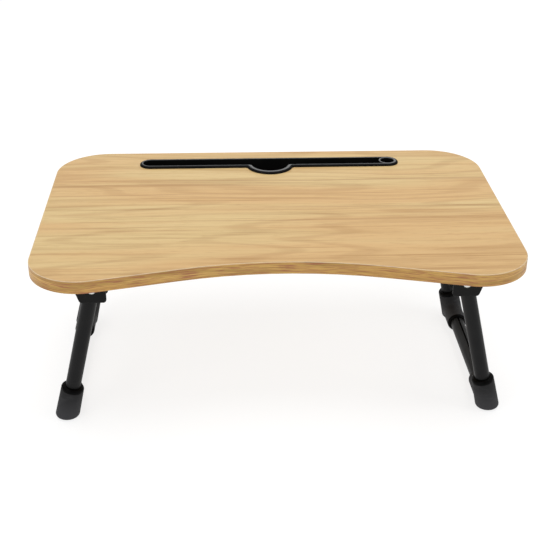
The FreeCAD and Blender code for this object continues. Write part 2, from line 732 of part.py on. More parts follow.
def make_upright(name, side, leg_y):
    """A leg tube from its pivot down into the elbow foot."""
    body = new_body(name)
    place(body, "%d * %s" % (side, PIVOT_X), leg_y, PIVOT_HEIGHT, leaning(side))
    lower_end = "(sizes.elbow_socket_start - %s)" % LEG_LENGTH
    sketch = sketch_on(body, "XY_Plane", lower_end)
    add_circle(sketch, "0", "0", "sizes.tube_diameter / 2")
    add_circle(sketch, "0", "0", "sizes.tube_diameter / 2 - sizes.tube_wall")
    pad(body, sketch, "sizes.tube_above_pivot - %s" % lower_end)
    drill_pivot(body, PIVOT_BORE, "2 * sizes.tube_diameter")


def make_pivot_plug(name, side, leg_y):
    """A plug that fills the top of the tube and bears on the rivet."""
    body = new_body(name)
    place(body, "%d * %s" % (side, PIVOT_X), leg_y, PIVOT_HEIGHT, leaning(side))
    stem = "(sizes.tube_diameter / 2 - sizes.tube_wall - sizes.plug_gap)"
    lower = "(sizes.tube_above_pivot - sizes.plug_stem_length)"

    head = sketch_on(body, "XY_Plane", "sizes.tube_above_pivot")
    add_circle(head, "0", "0", "sizes.tube_diameter / 2")
    pad(body, head, "sizes.plug_head_height")
    crown = flat_at("Z", "sizes.tube_above_pivot + sizes.plug_head_height")
    round_edges(body, "sizes.plug_head_round", crown)

    shaft = sketch_on(body, "XY_Plane", lower)
    add_circle(shaft, "0", "0", stem)
    pad(body, shaft, "sizes.plug_stem_length")
    drill_pivot(body, PIVOT_BORE, "2 * sizes.tube_diameter")


def make_elbow_foot(name, side, leg_y, way):
    """The L-shaped foot: one socket up the leg, one along the floor, flat below."""
    body = new_body(name)
    place(body, "%d * %s" % (side, CORNER_X), leg_y, BAR_HEIGHT, leaning(side))
    # Turned half round, the left feet reach the other way along Y.
    backwards = way * side > 0
    add_foot_post(body)
    add_foot_arm(body, backwards)
    bore_sockets(body, backwards)


def add_foot_post(body):
    """The arm up the leg, drawn from its mouth down, cut flat at the floor and rounded."""
    post = sketch_on(body, "XY_Plane", "sizes.elbow_upright_reach")
    add_circle(post, "0", "0", "sizes.elbow_mouth_diameter / 2")
    pad(body, post, "sizes.elbow_upright_reach + sizes.elbow_mouth_diameter", reverse=True,
        draft="sizes.elbow_draft")
    cut_at_floor(body)
    round_edges(body, "sizes.elbow_base_round", lies_on_floor)
    round_edges(body, "sizes.elbow_mouth_round", flat_at("Z", "sizes.elbow_upright_reach"))


def post_radius(level):
    """The post's radius at a height above the bar's axis, measured along the leg."""
    below_mouth = value("sizes.elbow_upright_reach") - level
    widening = math.tan(math.radians(value("sizes.elbow_draft")))
    return value("sizes.elbow_mouth_diameter / 2") + below_mouth * widening


def cut_at_floor(body):
    """Cut the foot flat, level with the floor it stands on."""
    sketch = sketch_on(body, "XZ_Plane")
    lean = "(sizes.leg_splay * 1 deg)"
    half = "(2 * sizes.elbow_mouth_diameter)"

    # A spot given along the floor and below the bar, in the leaning frame of the leg.
    def spot(along, depth):
        x = "((%s) * cos%s - (%s) * sin%s)" % (along, lean, depth, lean)
        z = "(-(%s) * sin%s - (%s) * cos%s)" % (along, lean, depth, lean)
        return (x, z)

    corners = [spot("-" + half, BAR_HEIGHT), spot(half, BAR_HEIGHT),
               spot(half, "2 * " + half), spot("-" + half, "2 * " + half)]
    add_polygon(sketch, corners)
    pocket(body, sketch, "2 * sizes.elbow_mouth_diameter", both_ways=True)


def lies_on_floor(edge):
    """True for an edge of a foot in the floor's plane."""
    lean = math.radians(value("sizes.leg_splay"))
    depths = [-point.x * math.sin(lean) - point.z * math.cos(lean) for point in edge.discretize(7)]
    return all(abs(depth - value(BAR_HEIGHT)) < NEAR for depth in depths)


def add_foot_arm(body, backwards):
    """The arm along the floor, blended into the post where they cross."""
    arm_radius = value("sizes.elbow_arm_diameter / 2")
    arm = sketch_on(body, "XZ_Plane")
    add_circle(arm, "0", "0", "sizes.elbow_arm_diameter / 2")
    pad(body, arm, "sizes.elbow_bar_reach", reverse=backwards)

    def is_crotch(edge):
        middle = edge.discretize(3)[1]
        on_post = abs(math.hypot(middle.x, middle.y) - post_radius(middle.z)) < NEAR
        return on_post and abs(math.hypot(middle.x, middle.z) - arm_radius) < NEAR

    mouth = flat_at("Y", ("" if backwards else "-") + "sizes.elbow_bar_reach")
    round_edges(body, "sizes.elbow_mouth_round", mouth)
    round_edges(body, "sizes.elbow_crotch_round", is_crotch)


def bore_sockets(body, backwards):
    """The two sockets that hold the tubes, each down to its seat."""
    radius = "(sizes.tube_diameter / 2 + sizes.elbow_socket_gap)"
    upper = sketch_on(body, "XY_Plane", "sizes.elbow_upright_reach")
    add_circle(upper, "0", "0", radius)
    pocket(body, upper, "sizes.elbow_upright_reach - sizes.elbow_socket_start")

    # The normal of the XZ plane points to -Y.
    mouth = "sizes.elbow_bar_reach"
    lower = sketch_on(body, "XZ_Plane", ("-" if backwards else "") + mouth)
    add_circle(lower, "0", "0", radius)
    pocket(body, lower, "sizes.elbow_bar_reach - sizes.elbow_socket_start", reverse=backwards)


def make_floor_bar(name, side):
    """The tube along the floor, from seat to seat in its two elbow feet."""
    body = new_body(name)
    place(body, "%d * %s" % (side, CORNER_X), "0", BAR_HEIGHT)
    start = "(%s + sizes.elbow_socket_start)" % FRONT_LEG_Y
    end = "(%s - sizes.elbow_socket_start)" % REAR_LEG_Y
    sketch = sketch_on(body, "XZ_Plane", "-" + end)
    add_circle(sketch, "0", "0", "sizes.tube_diameter / 2")
    add_circle(sketch, "0", "0", "sizes.tube_diameter / 2 - sizes.tube_wall")
    pad(body, sketch, "%s - %s" % (end, start))


# ---------------------------------------------------------------- assembly

def make_corner(side_name, end_name):
    """Everything at one corner: the bracket, its fasteners and the leg's pieces."""
    side, leg_y = SIDES[side_name], ENDS[end_name]
    way = -1 if end_name == "front" else 1
    prefix = "%s_%s_" % (end_name, side_name)
    make_hinge_bracket(prefix + "hinge_bracket", side, leg_y)
    make_bracket_screws(prefix + "bracket_screws", side, leg_y)
    make_pivot_rivet(prefix + "pivot_rivet", side, leg_y, way)
    make_rivet_washer(prefix + "rivet_washer", side, leg_y, way)
    make_pivot_plug(prefix + "pivot_plug", side, leg_y)
    make_upright(prefix + "upright", side, leg_y)
    make_elbow_foot(prefix + "elbow_foot", side, leg_y, -way)


def check_document():
    """Stop if any object failed or any sub-part has no sound shape."""
    for item in doc.Objects:
        if "Invalid" in item.State or "Error" in item.State:
            raise RuntimeError("%s failed: %s" % (item.Name, item.State))
    for body in sub_parts:
        shape = body.Shape
        if shape.isNull() or not shape.isValid() or not shape.Solids:
            raise RuntimeError("%s has no valid shape" % body.Label)


def main():
    fill_sheet()
    make_board_core()
    make_laminate("top_laminate", "sizes.top_height - sizes.laminate_thickness")
    backing = make_laminate("backing_laminate", BOARD_UNDERSIDE)
    drill_screw_holes(backing, "sizes.laminate_thickness")
    make_edge_band()
    make_slot_insert()
    for side_name in SIDES:
        for end_name in ENDS:
            make_corner(side_name, end_name)
        make_floor_bar(side_name + "_floor_bar", SIDES[side_name])
    doc.recompute()
    check_document()

    os.makedirs("parts", exist_ok=True)
    for body in sub_parts:
        body.Shape.exportStep("parts/%s.step" % body.Label)
        print("%-32s solids %d  volume %.0f mm3" % (body.Label, len(body.Shape.Solids), body.Shape.Volume))


main()
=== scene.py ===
# %% [markdown]
# # A bed tray table
#
# The object is a small folding table for use in bed: an oak-look laminated board with a hollowed
# front edge, a black moulded insert that holds a tablet and a pen, and two black steel legs that
# fold flat underneath. The CAD model is loaded as a fixed frame. It settles every size and every
# moving part, and this script only dresses it, so nothing in it is ever moved.

# %% Load the frame
import math

import bmesh
import bpy
from mathutils import Matrix, Vector


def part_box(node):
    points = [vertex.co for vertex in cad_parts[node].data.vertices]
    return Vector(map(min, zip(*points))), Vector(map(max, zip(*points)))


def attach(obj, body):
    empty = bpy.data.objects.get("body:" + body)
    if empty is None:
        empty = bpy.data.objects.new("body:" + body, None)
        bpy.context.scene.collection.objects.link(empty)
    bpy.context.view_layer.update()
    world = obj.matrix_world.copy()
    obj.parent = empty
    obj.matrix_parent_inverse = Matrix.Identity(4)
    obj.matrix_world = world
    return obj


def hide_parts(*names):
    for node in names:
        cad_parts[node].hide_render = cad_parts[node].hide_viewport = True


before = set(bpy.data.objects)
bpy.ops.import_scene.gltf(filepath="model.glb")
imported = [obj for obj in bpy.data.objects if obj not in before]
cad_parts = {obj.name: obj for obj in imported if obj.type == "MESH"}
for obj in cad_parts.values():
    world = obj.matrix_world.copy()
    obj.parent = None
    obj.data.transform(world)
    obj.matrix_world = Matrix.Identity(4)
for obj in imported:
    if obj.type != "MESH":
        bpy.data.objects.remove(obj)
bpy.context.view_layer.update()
MM = 0.001

# %% [markdown]
# ## The camera
#
# The photograph looks down at the front of the table through a long lens. The camera's place, its
# turn and the lens were found by fitting the outline of the board to the photograph. A camera could
# be aimed with a constraint, but a matrix built from three directions says exactly where it looks
# and needs no helper object.

# %% Camera
CAMERA_PLACE = Vector((-66.2, -1318.5, 809.2)) * MM
CAMERA_YAW, CAMERA_PITCH, CAMERA_ROLL = (math.radians(a) for a in (3.211, 27.898, 0.509))
FOCAL_LENGTH, SENSOR_WIDTH = 70.69, 36
forward = Vector((math.sin(CAMERA_YAW) * math.cos(CAMERA_PITCH),
                  math.cos(CAMERA_YAW) * math.cos(CAMERA_PITCH), -math.sin(CAMERA_PITCH)))
level = Vector((math.cos(CAMERA_YAW), -math.sin(CAMERA_YAW), 0))
above = level.cross(forward)
to_right = level * math.cos(CAMERA_ROLL) + above * math.sin(CAMERA_ROLL)
to_top = above * math.cos(CAMERA_ROLL) - level * math.sin(CAMERA_ROLL)

lens = bpy.data.cameras.new("camera")
lens.lens = FOCAL_LENGTH
lens.sensor_width = SENSOR_WIDTH
camera = bpy.data.objects.new("camera", lens)
camera.matrix_world = Matrix.Translation(CAMERA_PLACE) @ Matrix(
    (to_right, to_top, -forward)).transposed().to_4x4()
bpy.context.scene.collection.objects.link(camera)
bpy.context.scene.camera = camera
print("camera at", [round(v, 3) for v in CAMERA_PLACE], "with a %.1f mm lens" % FOCAL_LENGTH)

# %% [markdown]
# ## Light and floor
#
# The table stands in a white studio: almost no shadow, only a soft grey under the feet. One large
# area light overhead gives the even light on the board, weaker ones at the front left and on the
# right draw soft lines on the black tubes, and one low at the back shines along level black edges.
# A dim world keeps the blacks deep. The floor is a sheet lit from below, so the shade under the
# board stays pale. Places and sizes are in metres, and the lights' power is in watts.

# %% Studio
WORLD_STRENGTH = 0.4
scene = bpy.context.scene
scene.view_settings.view_transform = "Standard"
scene.world = bpy.data.worlds.new("studio")
scene.world.use_nodes = True
surround = scene.world.node_tree.nodes["Background"]
surround.inputs["Color"].default_value = (1, 1, 1, 1)
surround.inputs["Strength"].default_value = WORLD_STRENGTH


def add_softbox(name, place, target, width, height, watts):
    """A rectangular studio light that faces a target."""
    light = bpy.data.lights.new(name, "AREA")
    light.shape = "RECTANGLE"
    light.size, light.size_y, light.energy = width, height, watts
    lamp = bpy.data.objects.new(name, light)
    lamp.visible_camera = False
    lamp.matrix_world = Matrix.Translation(place) @ (
        Vector(target) - Vector(place)).to_track_quat("-Z", "Y").to_matrix().to_4x4()
    scene.collection.objects.link(lamp)


add_softbox("overhead_softbox", place=(0.0, 0.15, 2.0), target=(0, 0, 0.2),
            width=2.4, height=1.8, watts=37)
add_softbox("front_softbox", place=(-1.3, -1.5, 1.0), target=(0, 0, 0.15),
            width=0.9, height=1.2, watts=9)
add_softbox("side_softbox", place=(1.6, -0.5, 0.9), target=(0, 0, 0.15),
            width=0.8, height=1.0, watts=5)
add_softbox("back_softbox", place=(0.1, 2.4, 1.15), target=(0, 0.1, 0.2),
            width=3.0, height=1.2, watts=12)
print("softboxes:", len(bpy.data.lights), "and a world at", WORLD_STRENGTH)

# %% [markdown]
# ## How a finish is put together
#
# Every finish is a small tree of nodes. One function adds a node, sets it up and links it, and it
# takes another node as an input as readily as a number. Two kinds come back again and again. A
# MapRange stretches the value at input 0 from the range 1 to 2 to the range 3 to 4, with soft ends.
# A Mix lays colour 7 over colour 6 by the factor at 0. Colours are written as they are read off a
# screen, in sRGB, and one function turns them into the linear ones that the shader wants. Patterns
# are given in millimetres: a streak that is 200 mm long and 3 mm wide is a noise whose coordinates
# are divided by those two lengths.

# %% Helpers for finishes
SOFT = {"interpolation_type": "SMOOTHSTEP"}
COLOURS = {"data_type": "RGBA"}
RELIEF = 0.1 * MM


def linear(hexadecimal):
    """An sRGB hex colour as a linear RGBA tuple."""
    parts = [int(hexadecimal[i:i + 2], 16) / 255 for i in (0, 2, 4)]
    return tuple(p / 12.92 if p <= 0.04045 else ((p + 0.055) / 1.055) ** 2.4 for p in parts) + (1,)


def new_material(name):
    """A material, its node tree and its shader."""
    material = bpy.data.materials.new(name)
    material.use_nodes = True
    return material, material.node_tree, material.node_tree.nodes["Principled BSDF"]


def set_inputs(tree, node, inputs):
    """Sets a node's inputs, and links those whose value is a socket or another node."""
    for key, value in inputs.items():
        if isinstance(value, bpy.types.Node):
            value = next(socket for socket in value.outputs if socket.enabled)
        if isinstance(value, bpy.types.NodeSocket):
            tree.links.new(value, node.inputs[key])
        else:
            node.inputs[key].default_value = value


def add_node(tree, kind, settings, inputs):
    """Adds a node, sets its properties and then its inputs."""
    node = tree.nodes.new("ShaderNode" + kind)
    for name, value in settings.items():
        setattr(node, name, value)
    set_inputs(tree, node, inputs)
    return node


def blotches(tree, place, size, detail, roughness=0.5):
    """Noise whose blotches have the given length, width and height in mm, from 0 to 1."""
    scaled = add_node(tree, "Mapping", {}, {"Vector": place, "Scale": [1 / (s * MM) for s in size]})
    return add_node(tree, "TexNoise", {}, {"Vector": scaled, "Scale": 1.0, "Detail": detail,
                                           "Roughness": roughness})


print("helpers for finishes ready, relief %.1f mm deep" % (RELIEF / MM))

# %% [markdown]
# ## Oak laminate
#
# The board's faces are melamine paper printed with plain-sliced oak, pressed under a satin plate.
# The print runs from left to right: wide bands that are yellower or pinker, long streaks a few
# millimetres wide, faint arched figures where the slice cuts the rings, and short fine pores. A
# wave texture would make even stripes, so the figure is drawn as contour lines of a stretched
# noise, which arch and close as real grain does. Pores are 0.2 mm wide on oak, too fine to show
# here, so they are drawn about 1 mm wide. The band's print also has short reddish dashes.

# %% Oak print
THROUGH = 400  # mm, so long that a print doesn't change through its sheet
WANDER = 18 * MM
RING_PHASE = 58.0  # radians over the noise's whole range, which is about nine rings


def printed_oak(name, socket, colours, streak, roughness, contrast, painted_highlight_span=None, blush=None):
    """Melamine paper printed with plain-sliced oak, its grain along the first coordinate.

    colours are the pale wood, the warm wood and the dark lines. streak is the length and width of a
    streak in mm. painted_highlight_span says between which distances round the section, in mm, a pale
    painted highlight lies over the print. blush is the colour of the dashes between the streaks."""
    material, tree, shader = new_material(name)
    pale, warm, dark = (linear(colour) for colour in colours)
    length, width = streak
    place = add_node(tree, "TexCoord", {}, {}).outputs[socket]
    # The grain wanders to either side by half of WANDER over nearly half a metre.
    drift = add_node(tree, "Mapping", {}, {"Vector": place, "Scale": (2.2, 5.0, 5.0)})
    sway = add_node(tree, "TexNoise", {}, {"Vector": drift, "Scale": 1.0, "Detail": 1.0})
    grain = add_node(tree, "VectorMath", {"operation": "MULTIPLY_ADD"},
                     {0: sway.outputs["Color"], 1: (0.0, WANDER, 0.0), 2: place})

    bands = blotches(tree, grain, (420, width * 13, THROUGH), 1.5)
    warmth = add_node(tree, "MapRange", SOFT, {0: bands, 1: 0.36, 2: 0.64})
    tone = add_node(tree, "Mix", COLOURS, {0: warmth, 6: pale, 7: warm})

    rings = blotches(tree, grain, (520, width * 22, THROUGH), 1.0)
    turns = add_node(tree, "Math", {"operation": "MULTIPLY"}, {0: rings, 1: RING_PHASE})
    figure = add_node(tree, "Math", {"operation": "SINE"}, {0: turns})
    streaks = blotches(tree, grain, (length, width, THROUGH), 4.0, 0.6)
    heart = blotches(tree, grain, (900, width * 2.6, THROUGH), 2.0)
    pores = blotches(tree, grain, (22, width / 3, THROUGH), 2.0)
    # Each darkens the wood from its first level on, and by its whole share from the second.
    for pattern, low, high, share in ((figure, 0.10, 1.00, 0.24), (streaks, 0.47, 0.78, 0.62),
                                      (heart, 0.60, 0.74, 0.50), (pores, 0.56, 0.72, 0.34)):
        marks = add_node(tree, "MapRange", SOFT, {0: pattern, 1: low, 2: high, 4: share * contrast})
        tone = add_node(tree, "Mix", COLOURS, {0: marks, 6: tone, 7: dark})
    # The pores, mixed in last, are pressed into the face.
    bump = add_node(tree, "Bump", {"invert": True}, {"Strength": 0.12, "Distance": RELIEF,
                                                     "Height": marks})
    if blush:
        dashes = blotches(tree, grain, (30, 1.0, THROUGH), 3.0)
        ruddy = add_node(tree, "MapRange", SOFT, {0: dashes, 1: 0.50, 2: 0.60, 4: 0.8})
        tone = add_node(tree, "Mix", COLOURS, {0: ruddy, 6: tone, 7: linear(blush)})
    # A pale band on the band's rounded top edge is a painted highlight.
    if painted_highlight_span:
        split = add_node(tree, "SeparateXYZ", {}, {0: place})
        rubbed = add_node(tree, "MapRange", SOFT, {0: split.outputs["Y"], 1: painted_highlight_span[0] * MM,
                                                   2: painted_highlight_span[1] * MM, 4: 0.5})
        tone = add_node(tree, "Mix", COLOURS, {0: rubbed, 6: tone, 7: linear("D8CCB2")})
    gloss = add_node(tree, "MapRange", SOFT, {0: streaks, 1: 0.3, 2: 0.7, 3: roughness - 0.04,
                                              4: roughness + 0.05})
    set_inputs(tree, shader, {"Base Color": tone, "Roughness": gloss, "Normal": bump, "IOR": 1.5,
                              "Specular IOR Level": 0.2})
    return material


oak_laminate = printed_oak("oak_melamine_laminate", "Object", ("C2A876", "BF9C6A", "875E2C"),
                           streak=(190, 3.4), roughness=0.46, contrast=0.80)
oak_backing = printed_oak("oak_melamine_backing", "Object", ("C0A478", "BA9970", "8C6738"),
                          streak=(190, 4.5), roughness=0.56, contrast=0.6)
oak_edge_band = printed_oak("oak_melamine_edge_band", "UV", ("D0A862", "C69B58", "5E4018"),
                            streak=(55, 1.1), roughness=0.42, contrast=1.15,
                            painted_highlight_span=(15.5, 16.4), blush="9A5F48")
print("oak finishes:", oak_laminate.name, oak_backing.name, oak_edge_band.name)

# %% [markdown]
# ## Moulded plastics
#
# The insert, the brackets and the plugs are injection moulded, and their moulds were spark eroded,
# which leaves a fine dull grain. The insert and brackets are black ABS and the plugs are nylon. The
# insert's inner lip is a glossier copy of the black ABS in a slightly lighter colour: the lighter
# colour is a painted highlight, and the gloss mirrors the bright room at the back. All are the same
# kind of surface with another colour, gloss and grain, so one function makes them. Grain is 0.15 mm
# in the mould and is drawn 0.7 to 0.9 mm wide so that it shows.

# %% Moulded plastics
def moulded_plastic(name, colour, lighter, roughness, grain, shine):
    """Spark-grained moulding: fine grain, slow changes of tone and a dull sheen."""
    material, tree, shader = new_material(name)
    place = add_node(tree, "TexCoord", {}, {}).outputs["Object"]
    cloud = blotches(tree, place, (45, 45, 45), 3.0)
    fine = blotches(tree, place, (grain, grain, grain), 2.0)
    slow = add_node(tree, "MapRange", SOFT, {0: cloud, 1: 0.3, 2: 0.7})
    tone = add_node(tree, "Mix", COLOURS, {0: slow, 6: linear(colour), 7: linear(lighter)})
    tips = add_node(tree, "MapRange", SOFT, {0: fine, 1: 0.52, 2: 0.75, 4: 0.35})
    tone = add_node(tree, "Mix", COLOURS, {0: tips, 6: tone, 7: linear(lighter)})
    gloss = add_node(tree, "MapRange", SOFT, {0: cloud, 1: 0.3, 2: 0.7, 3: roughness - 0.05,
                                              4: roughness + 0.06})
    bump = add_node(tree, "Bump", {}, {"Strength": 0.25, "Distance": RELIEF, "Height": fine})
    set_inputs(tree, shader, {"Base Color": tone, "Roughness": gloss, "Normal": bump, "IOR": 1.54,
                              "Specular IOR Level": shine})
    return material


black_abs = moulded_plastic("black_abs_moulding", "0A0A0A", "10100F",
                            roughness=0.55, grain=0.8, shine=0.05)
# The lip's slightly lighter colour is a painted highlight; its lower roughness is real gloss.
lip_abs_painted_highlight = moulded_plastic("black_abs_lip_painted_highlight", "161718", "1F2021",
                          roughness=0.24, grain=0.8, shine=0.38)
bracket_abs = moulded_plastic("black_abs_bracket", "141414", "1B1B1B",
                              roughness=0.52, grain=0.9, shine=0.10)
plug_nylon = moulded_plastic("black_nylon_plug", "161616", "1E1E1E",
                             roughness=0.42, grain=0.7, shine=0.15)
print("plastics:", black_abs.name, lip_abs_painted_highlight.name, bracket_abs.name, plug_nylon.name)

# %% [markdown]
# ## The feet's grip plastic
#
# A foot is paler towards the floor, which is painted light from the bright floor, and has a few
# scuffs at random. Where it meets each tube it is smoother and painted nearly black, a painted
# shade in the mouth round the tube: about 6 mm long round the upright and 3 mm round the floor bar.
# These shaded bands are found by distance: up the leaning leg for the upper one, and along the floor
# bar from its middle for the lower one. Both are measured in the foot's own coordinates, so they stay
# put when the leg folds.

# %% Grip plastic
LEG_LEAN = math.radians(13.5)
PIVOT_X, PIVOT_HEIGHT, BAR_HEIGHT = 225.5 * MM, 186 * MM, 13.7 * MM
BAR_X = PIVOT_X + (PIVOT_HEIGHT - BAR_HEIGHT) * math.tan(LEG_LEAN)
BAR_MIDDLE, HALF_LEG_SPACING = -32 * MM, 117 * MM
# Lengths of the painted shade bands where the tubes enter the foot.
UPPER_REACH, UPPER_SHADE_LENGTH = 32.5 * MM, 5.7 * MM
LOWER_REACH, LOWER_SHADE_LENGTH = 46 * MM, 3 * MM
MOUTH_SHADE_BLUR = 0.5 * MM


def grip_foot():
    """Charcoal thermoplastic rubber with scuffs, painted light towards the floor and painted shade at
    each tube.
    """
    material, tree, shader = new_material("charcoal_tpe_foot")
    place = add_node(tree, "TexCoord", {}, {}).outputs["Object"]
    split = add_node(tree, "SeparateXYZ", {}, {0: place})
    # Paler towards the floor: painted light from the bright floor.
    height = add_node(tree, "MapRange", SOFT, {0: split.outputs["Z"], 1: 2 * MM, 2: 42 * MM})
    tone = add_node(tree, "Mix", COLOURS, {0: height, 6: linear("3A3A3C"), 7: linear("232324")})
    scuffs = blotches(tree, place, (14, 14, 5), 4.0)
    rubbed = add_node(tree, "MapRange", SOFT, {0: scuffs, 1: 0.5, 2: 0.75, 4: 0.3})
    tone = add_node(tree, "Mix", COLOURS, {0: rubbed, 6: tone, 7: linear("424244")})

    # The bands round the tubes are painted shade in the foot's mouths.
    up_leg = Vector((-math.sin(LEG_LEAN), 0, math.cos(LEG_LEAN)))
    upper_edge = up_leg.dot((BAR_X, 0, BAR_HEIGHT)) + UPPER_REACH - UPPER_SHADE_LENGTH
    both_sides = add_node(tree, "VectorMath", {"operation": "ABSOLUTE"}, {0: place})
    climb = add_node(tree, "VectorMath", {"operation": "DOT_PRODUCT"}, {0: both_sides, 1: up_leg})
    upper = add_node(tree, "MapRange", SOFT, {0: climb, 1: upper_edge - MOUTH_SHADE_BLUR,
                                              2: upper_edge + MOUTH_SHADE_BLUR})
    lower_edge = HALF_LEG_SPACING - LOWER_REACH + LOWER_SHADE_LENGTH
    shifted = add_node(tree, "Math", {"operation": "SUBTRACT"}, {0: split.outputs["Y"],
                                                                 1: BAR_MIDDLE})
    along_bar = add_node(tree, "Math", {"operation": "ABSOLUTE"}, {0: shifted})
    lower = add_node(tree, "MapRange", SOFT, {0: along_bar, 1: lower_edge - MOUTH_SHADE_BLUR,
                                              2: lower_edge + MOUTH_SHADE_BLUR, 3: 1.0, 4: 0.0})
    painted_mouth_shade = add_node(tree, "Math", {"operation": "MAXIMUM"}, {0: upper, 1: lower})
    # Painted shade: the bands round the tubes are made nearly black.
    tone = add_node(tree, "Mix", COLOURS, {0: painted_mouth_shade, 6: tone, 7: linear("040404")})
    gloss = add_node(tree, "MapRange", SOFT, {0: painted_mouth_shade, 3: 0.66, 4: 0.45})
    shine = add_node(tree, "MapRange", SOFT, {0: painted_mouth_shade, 3: 0.12, 4: 0.05})
    grain = blotches(tree, place, (1, 1, 1), 2.0)
    bump = add_node(tree, "Bump", {}, {"Strength": 0.3, "Distance": RELIEF, "Height": grain})
    set_inputs(tree, shader, {"Base Color": tone, "Roughness": gloss, "Normal": bump, "IOR": 1.5,
                              "Specular IOR Level": shine})
    return material


foot_rubber = grip_foot()
print("feet:", foot_rubber.name, "with floor bars %.1f mm from the middle" % (BAR_X / MM))

# %% [markdown]
# ## Metals and the board's core
#
# The tubes are steel under a satin black powder coat, which cures with a faint orange peel. Along
# the top of each floor bar runs a thin dull line that is darker than the tube. Rivets are nickel
# plated and screws and washers zinc plated, both slightly brushed by tumbling. The core is particle
# board: pressed chips of pale and brown wood that show only where the board is cut.

# %% Powder coat, plated steel, particle board
DARK_LINE_CORE, DARK_LINE_EDGE = 0.9 * MM, 1.6 * MM
POWDER_SHINE = 0.14


def powder_coat(name, dark_top_line):
    """Satin black polyester powder on steel tube, with orange peel about 2 mm across."""
    material, tree, shader = new_material(name)
    place = add_node(tree, "TexCoord", {}, {}).outputs["Object"]
    peel = blotches(tree, place, (2, 2, 2), 1.0)
    rub = blotches(tree, place, (30, 30, 30), 4.0)
    worn = add_node(tree, "MapRange", SOFT, {0: rub, 1: 0.35, 2: 0.7})
    tone = add_node(tree, "Mix", COLOURS, {0: worn, 6: linear("121213"), 7: linear("191919")})
    shine = POWDER_SHINE
    # A thin line along the top of the floor bar, darker than the tube and without sheen.
    if dark_top_line:
        split = add_node(tree, "SeparateXYZ", {}, {0: place})
        either_side = add_node(tree, "Math", {"operation": "ABSOLUTE"}, {0: split.outputs["X"]})
        offset = add_node(tree, "Math", {"operation": "SUBTRACT"}, {0: either_side, 1: BAR_X})
        away = add_node(tree, "Math", {"operation": "ABSOLUTE"}, {0: offset})
        on_line = add_node(tree, "MapRange", SOFT, {0: away, 1: DARK_LINE_CORE, 2: DARK_LINE_EDGE, 3: 1.0,
                                                    4: 0.0})
        on_top = add_node(tree, "MapRange", SOFT, {0: split.outputs["Z"], 1: 14 * MM, 2: 18 * MM})
        dark_line = add_node(tree, "Math", {"operation": "MULTIPLY"}, {0: on_line, 1: on_top})
        tone = add_node(tree, "Mix", COLOURS, {0: dark_line, 6: tone, 7: linear("050505")})
        shine = add_node(tree, "MapRange", SOFT, {0: dark_line, 3: POWDER_SHINE, 4: 0.0})
    gloss = add_node(tree, "MapRange", SOFT, {0: rub, 1: 0.3, 2: 0.7, 3: 0.36, 4: 0.48})
    bump = add_node(tree, "Bump", {}, {"Strength": 0.18, "Distance": RELIEF, "Height": peel})
    set_inputs(tree, shader, {"Base Color": tone, "Roughness": gloss, "Normal": bump, "IOR": 1.5,
                              "Specular IOR Level": shine})
    return material


def plated_steel(name, colour, shade, roughness):
    """Plated steel, tumbled: a metal with fine rubbed marks."""
    material, tree, shader = new_material(name)
    place = add_node(tree, "TexCoord", {}, {}).outputs["Object"]
    marks = blotches(tree, place, (0.8, 0.8, 0.8), 3.0)
    rubbed = add_node(tree, "MapRange", SOFT, {0: marks, 1: 0.3, 2: 0.7})
    tone = add_node(tree, "Mix", COLOURS, {0: rubbed, 6: linear(colour), 7: linear(shade)})
    gloss = add_node(tree, "MapRange", SOFT, {0: marks, 1: 0.3, 2: 0.7, 3: roughness - 0.06,
                                              4: roughness + 0.08})
    set_inputs(tree, shader, {"Base Color": tone, "Roughness": gloss, "Metallic": 1.0})
    return material


def particle_board():
    """Pressed chips, 1 to 3 mm, pale and brown."""
    material, tree, shader = new_material("particle_board_core")
    place = add_node(tree, "TexCoord", {}, {}).outputs["Object"]
    chips = add_node(tree, "TexVoronoi", {}, {"Vector": place, "Scale": 1 / (2.2 * MM)})
    tone = add_node(tree, "Mix", COLOURS, {0: chips, 6: linear("BE9A6A"), 7: linear("8C6B42")})
    dust = blotches(tree, place, (0.6, 0.6, 0.6), 3.0)
    bump = add_node(tree, "Bump", {}, {"Strength": 0.5, "Distance": 3 * RELIEF, "Height": dust})
    set_inputs(tree, shader, {"Base Color": tone, "Normal": bump, "Roughness": 0.85})
    return material


black_tube = powder_coat("black_powder_coated_steel", dark_top_line=False)
dark_lined_tube = powder_coat("black_powder_coated_steel_dark_top_line", dark_top_line=True)
bright_nickel = plated_steel("bright_nickel_rivet", "E4E4E0", "CFCFCB", roughness=0.24)
zinc_plate = plated_steel("zinc_plated_steel", "B9BCBE", "A0A4A8", roughness=0.34)
chip_core = particle_board()
print("tubes:", black_tube.name, dark_lined_tube.name)
print("plated:", bright_nickel.name, zinc_plate.name, "core:", chip_core.name)

# %% [markdown]
# ## Dress the CAD nodes
#
# Tubes, feet, brackets, rivets, washers and plugs already have their true shape in the CAD model,
# rounds included, so they keep their solids and only get a finish. The end of a node's name says
# which finish it takes.

# %% Finishes of the CAD nodes
FINISHES = {
    "board_core": chip_core,
    "top_laminate": oak_laminate,
    "backing_laminate": oak_backing,
    "edge_band": oak_edge_band,
    "slot_insert": black_abs,
    "hinge_bracket": bracket_abs,
    "bracket_screws": zinc_plate,
    "pivot_rivet": bright_nickel,
    "rivet_washer": zinc_plate,
    "pivot_plug": plug_nylon,
    "upright": black_tube,
    "floor_bar": dark_lined_tube,
    "elbow_foot": foot_rubber,
}
for name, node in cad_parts.items():
    finish = next(m for ending, m in FINISHES.items() if name.endswith(ending))
    for holder in node.material_slots:
        holder.material = finish
print("dressed", len(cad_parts), "nodes in", len(set(FINISHES.values())), "finishes")

